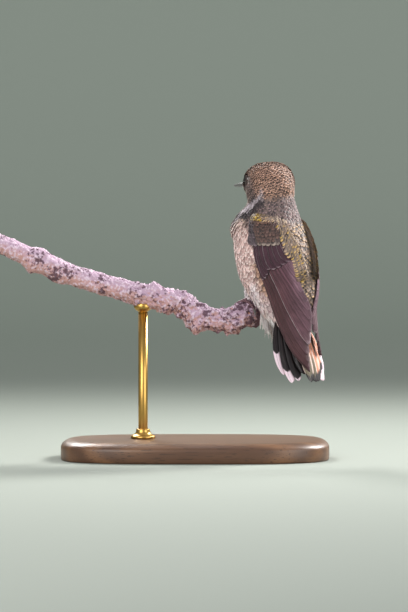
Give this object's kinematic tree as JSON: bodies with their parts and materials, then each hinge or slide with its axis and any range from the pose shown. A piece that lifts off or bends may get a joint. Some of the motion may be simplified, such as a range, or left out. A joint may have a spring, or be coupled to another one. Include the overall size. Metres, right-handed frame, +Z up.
{
  "type": "hummingbird",
  "caption": "Still life-size hummingbird perched upright with folded wings and fanned tail on a cut length of branch, held by a small wood and brass display stand.",
  "frame": {"origin": "centre of the stand base's underside", "axes": "+Z up; +X along the base and the branch, from the branch's cut end towards the bird; the bird stands at +X and its back and tail face -Y, so a viewer at -Y sees the back"},
  "size_m": [0.0938, 0.044, 0.0819],
  "materials": {
    "plumage_head": "matte short feathers, bronze-brown",
    "plumage_body": "matte soft feathers, buff with grey-brown spots and a bronze-olive back",
    "plumage_back": "satin feathers, bronze-olive",
    "plumage_coverts": "satin feathers, purple-brown with pale edges",
    "plumage_wing": "satin flight feathers, dark purple-brown",
    "plumage_tail": "satin tail feathers, blackish with rusty bases and white tips",
    "horn": "semi-gloss dark horn",
    "eye": "wet-gloss dark brown",
    "foot_skin": "dull scaly skin, dark maroon-grey",
    "bark": "rough grey-mauve bark with lichen",
    "base_wood": "satin oiled walnut",
    "brass": "satin brass"
  },
  "bodies": {
    "root": {"head": "plumage_head", "neck": "plumage_head", "trunk": "plumage_body", "thigh_left": "plumage_body", "thigh_right": "plumage_body", "eye_left": "eye", "eye_right": "eye", "bill_upper": "horn", "bill_lower": "horn", "tail_middle": "plumage_back", "tail_left": "plumage_tail", "tail_right": "plumage_tail", "wing_left_coverts": "plumage_coverts", "wing_right_coverts": "plumage_coverts", "wing_left_secondaries": "plumage_wing", "wing_right_secondaries": "plumage_wing", "wing_left_primaries": "plumage_wing", "wing_right_primaries": "plumage_wing", "foot_left": "foot_skin", "foot_right": "foot_skin", "perch_branch": "bark", "stand_base": "base_wood", "stand_collar": "brass", "stand_rod": "brass", "stand_saddle": "brass"}
  },
  "joints": []
}
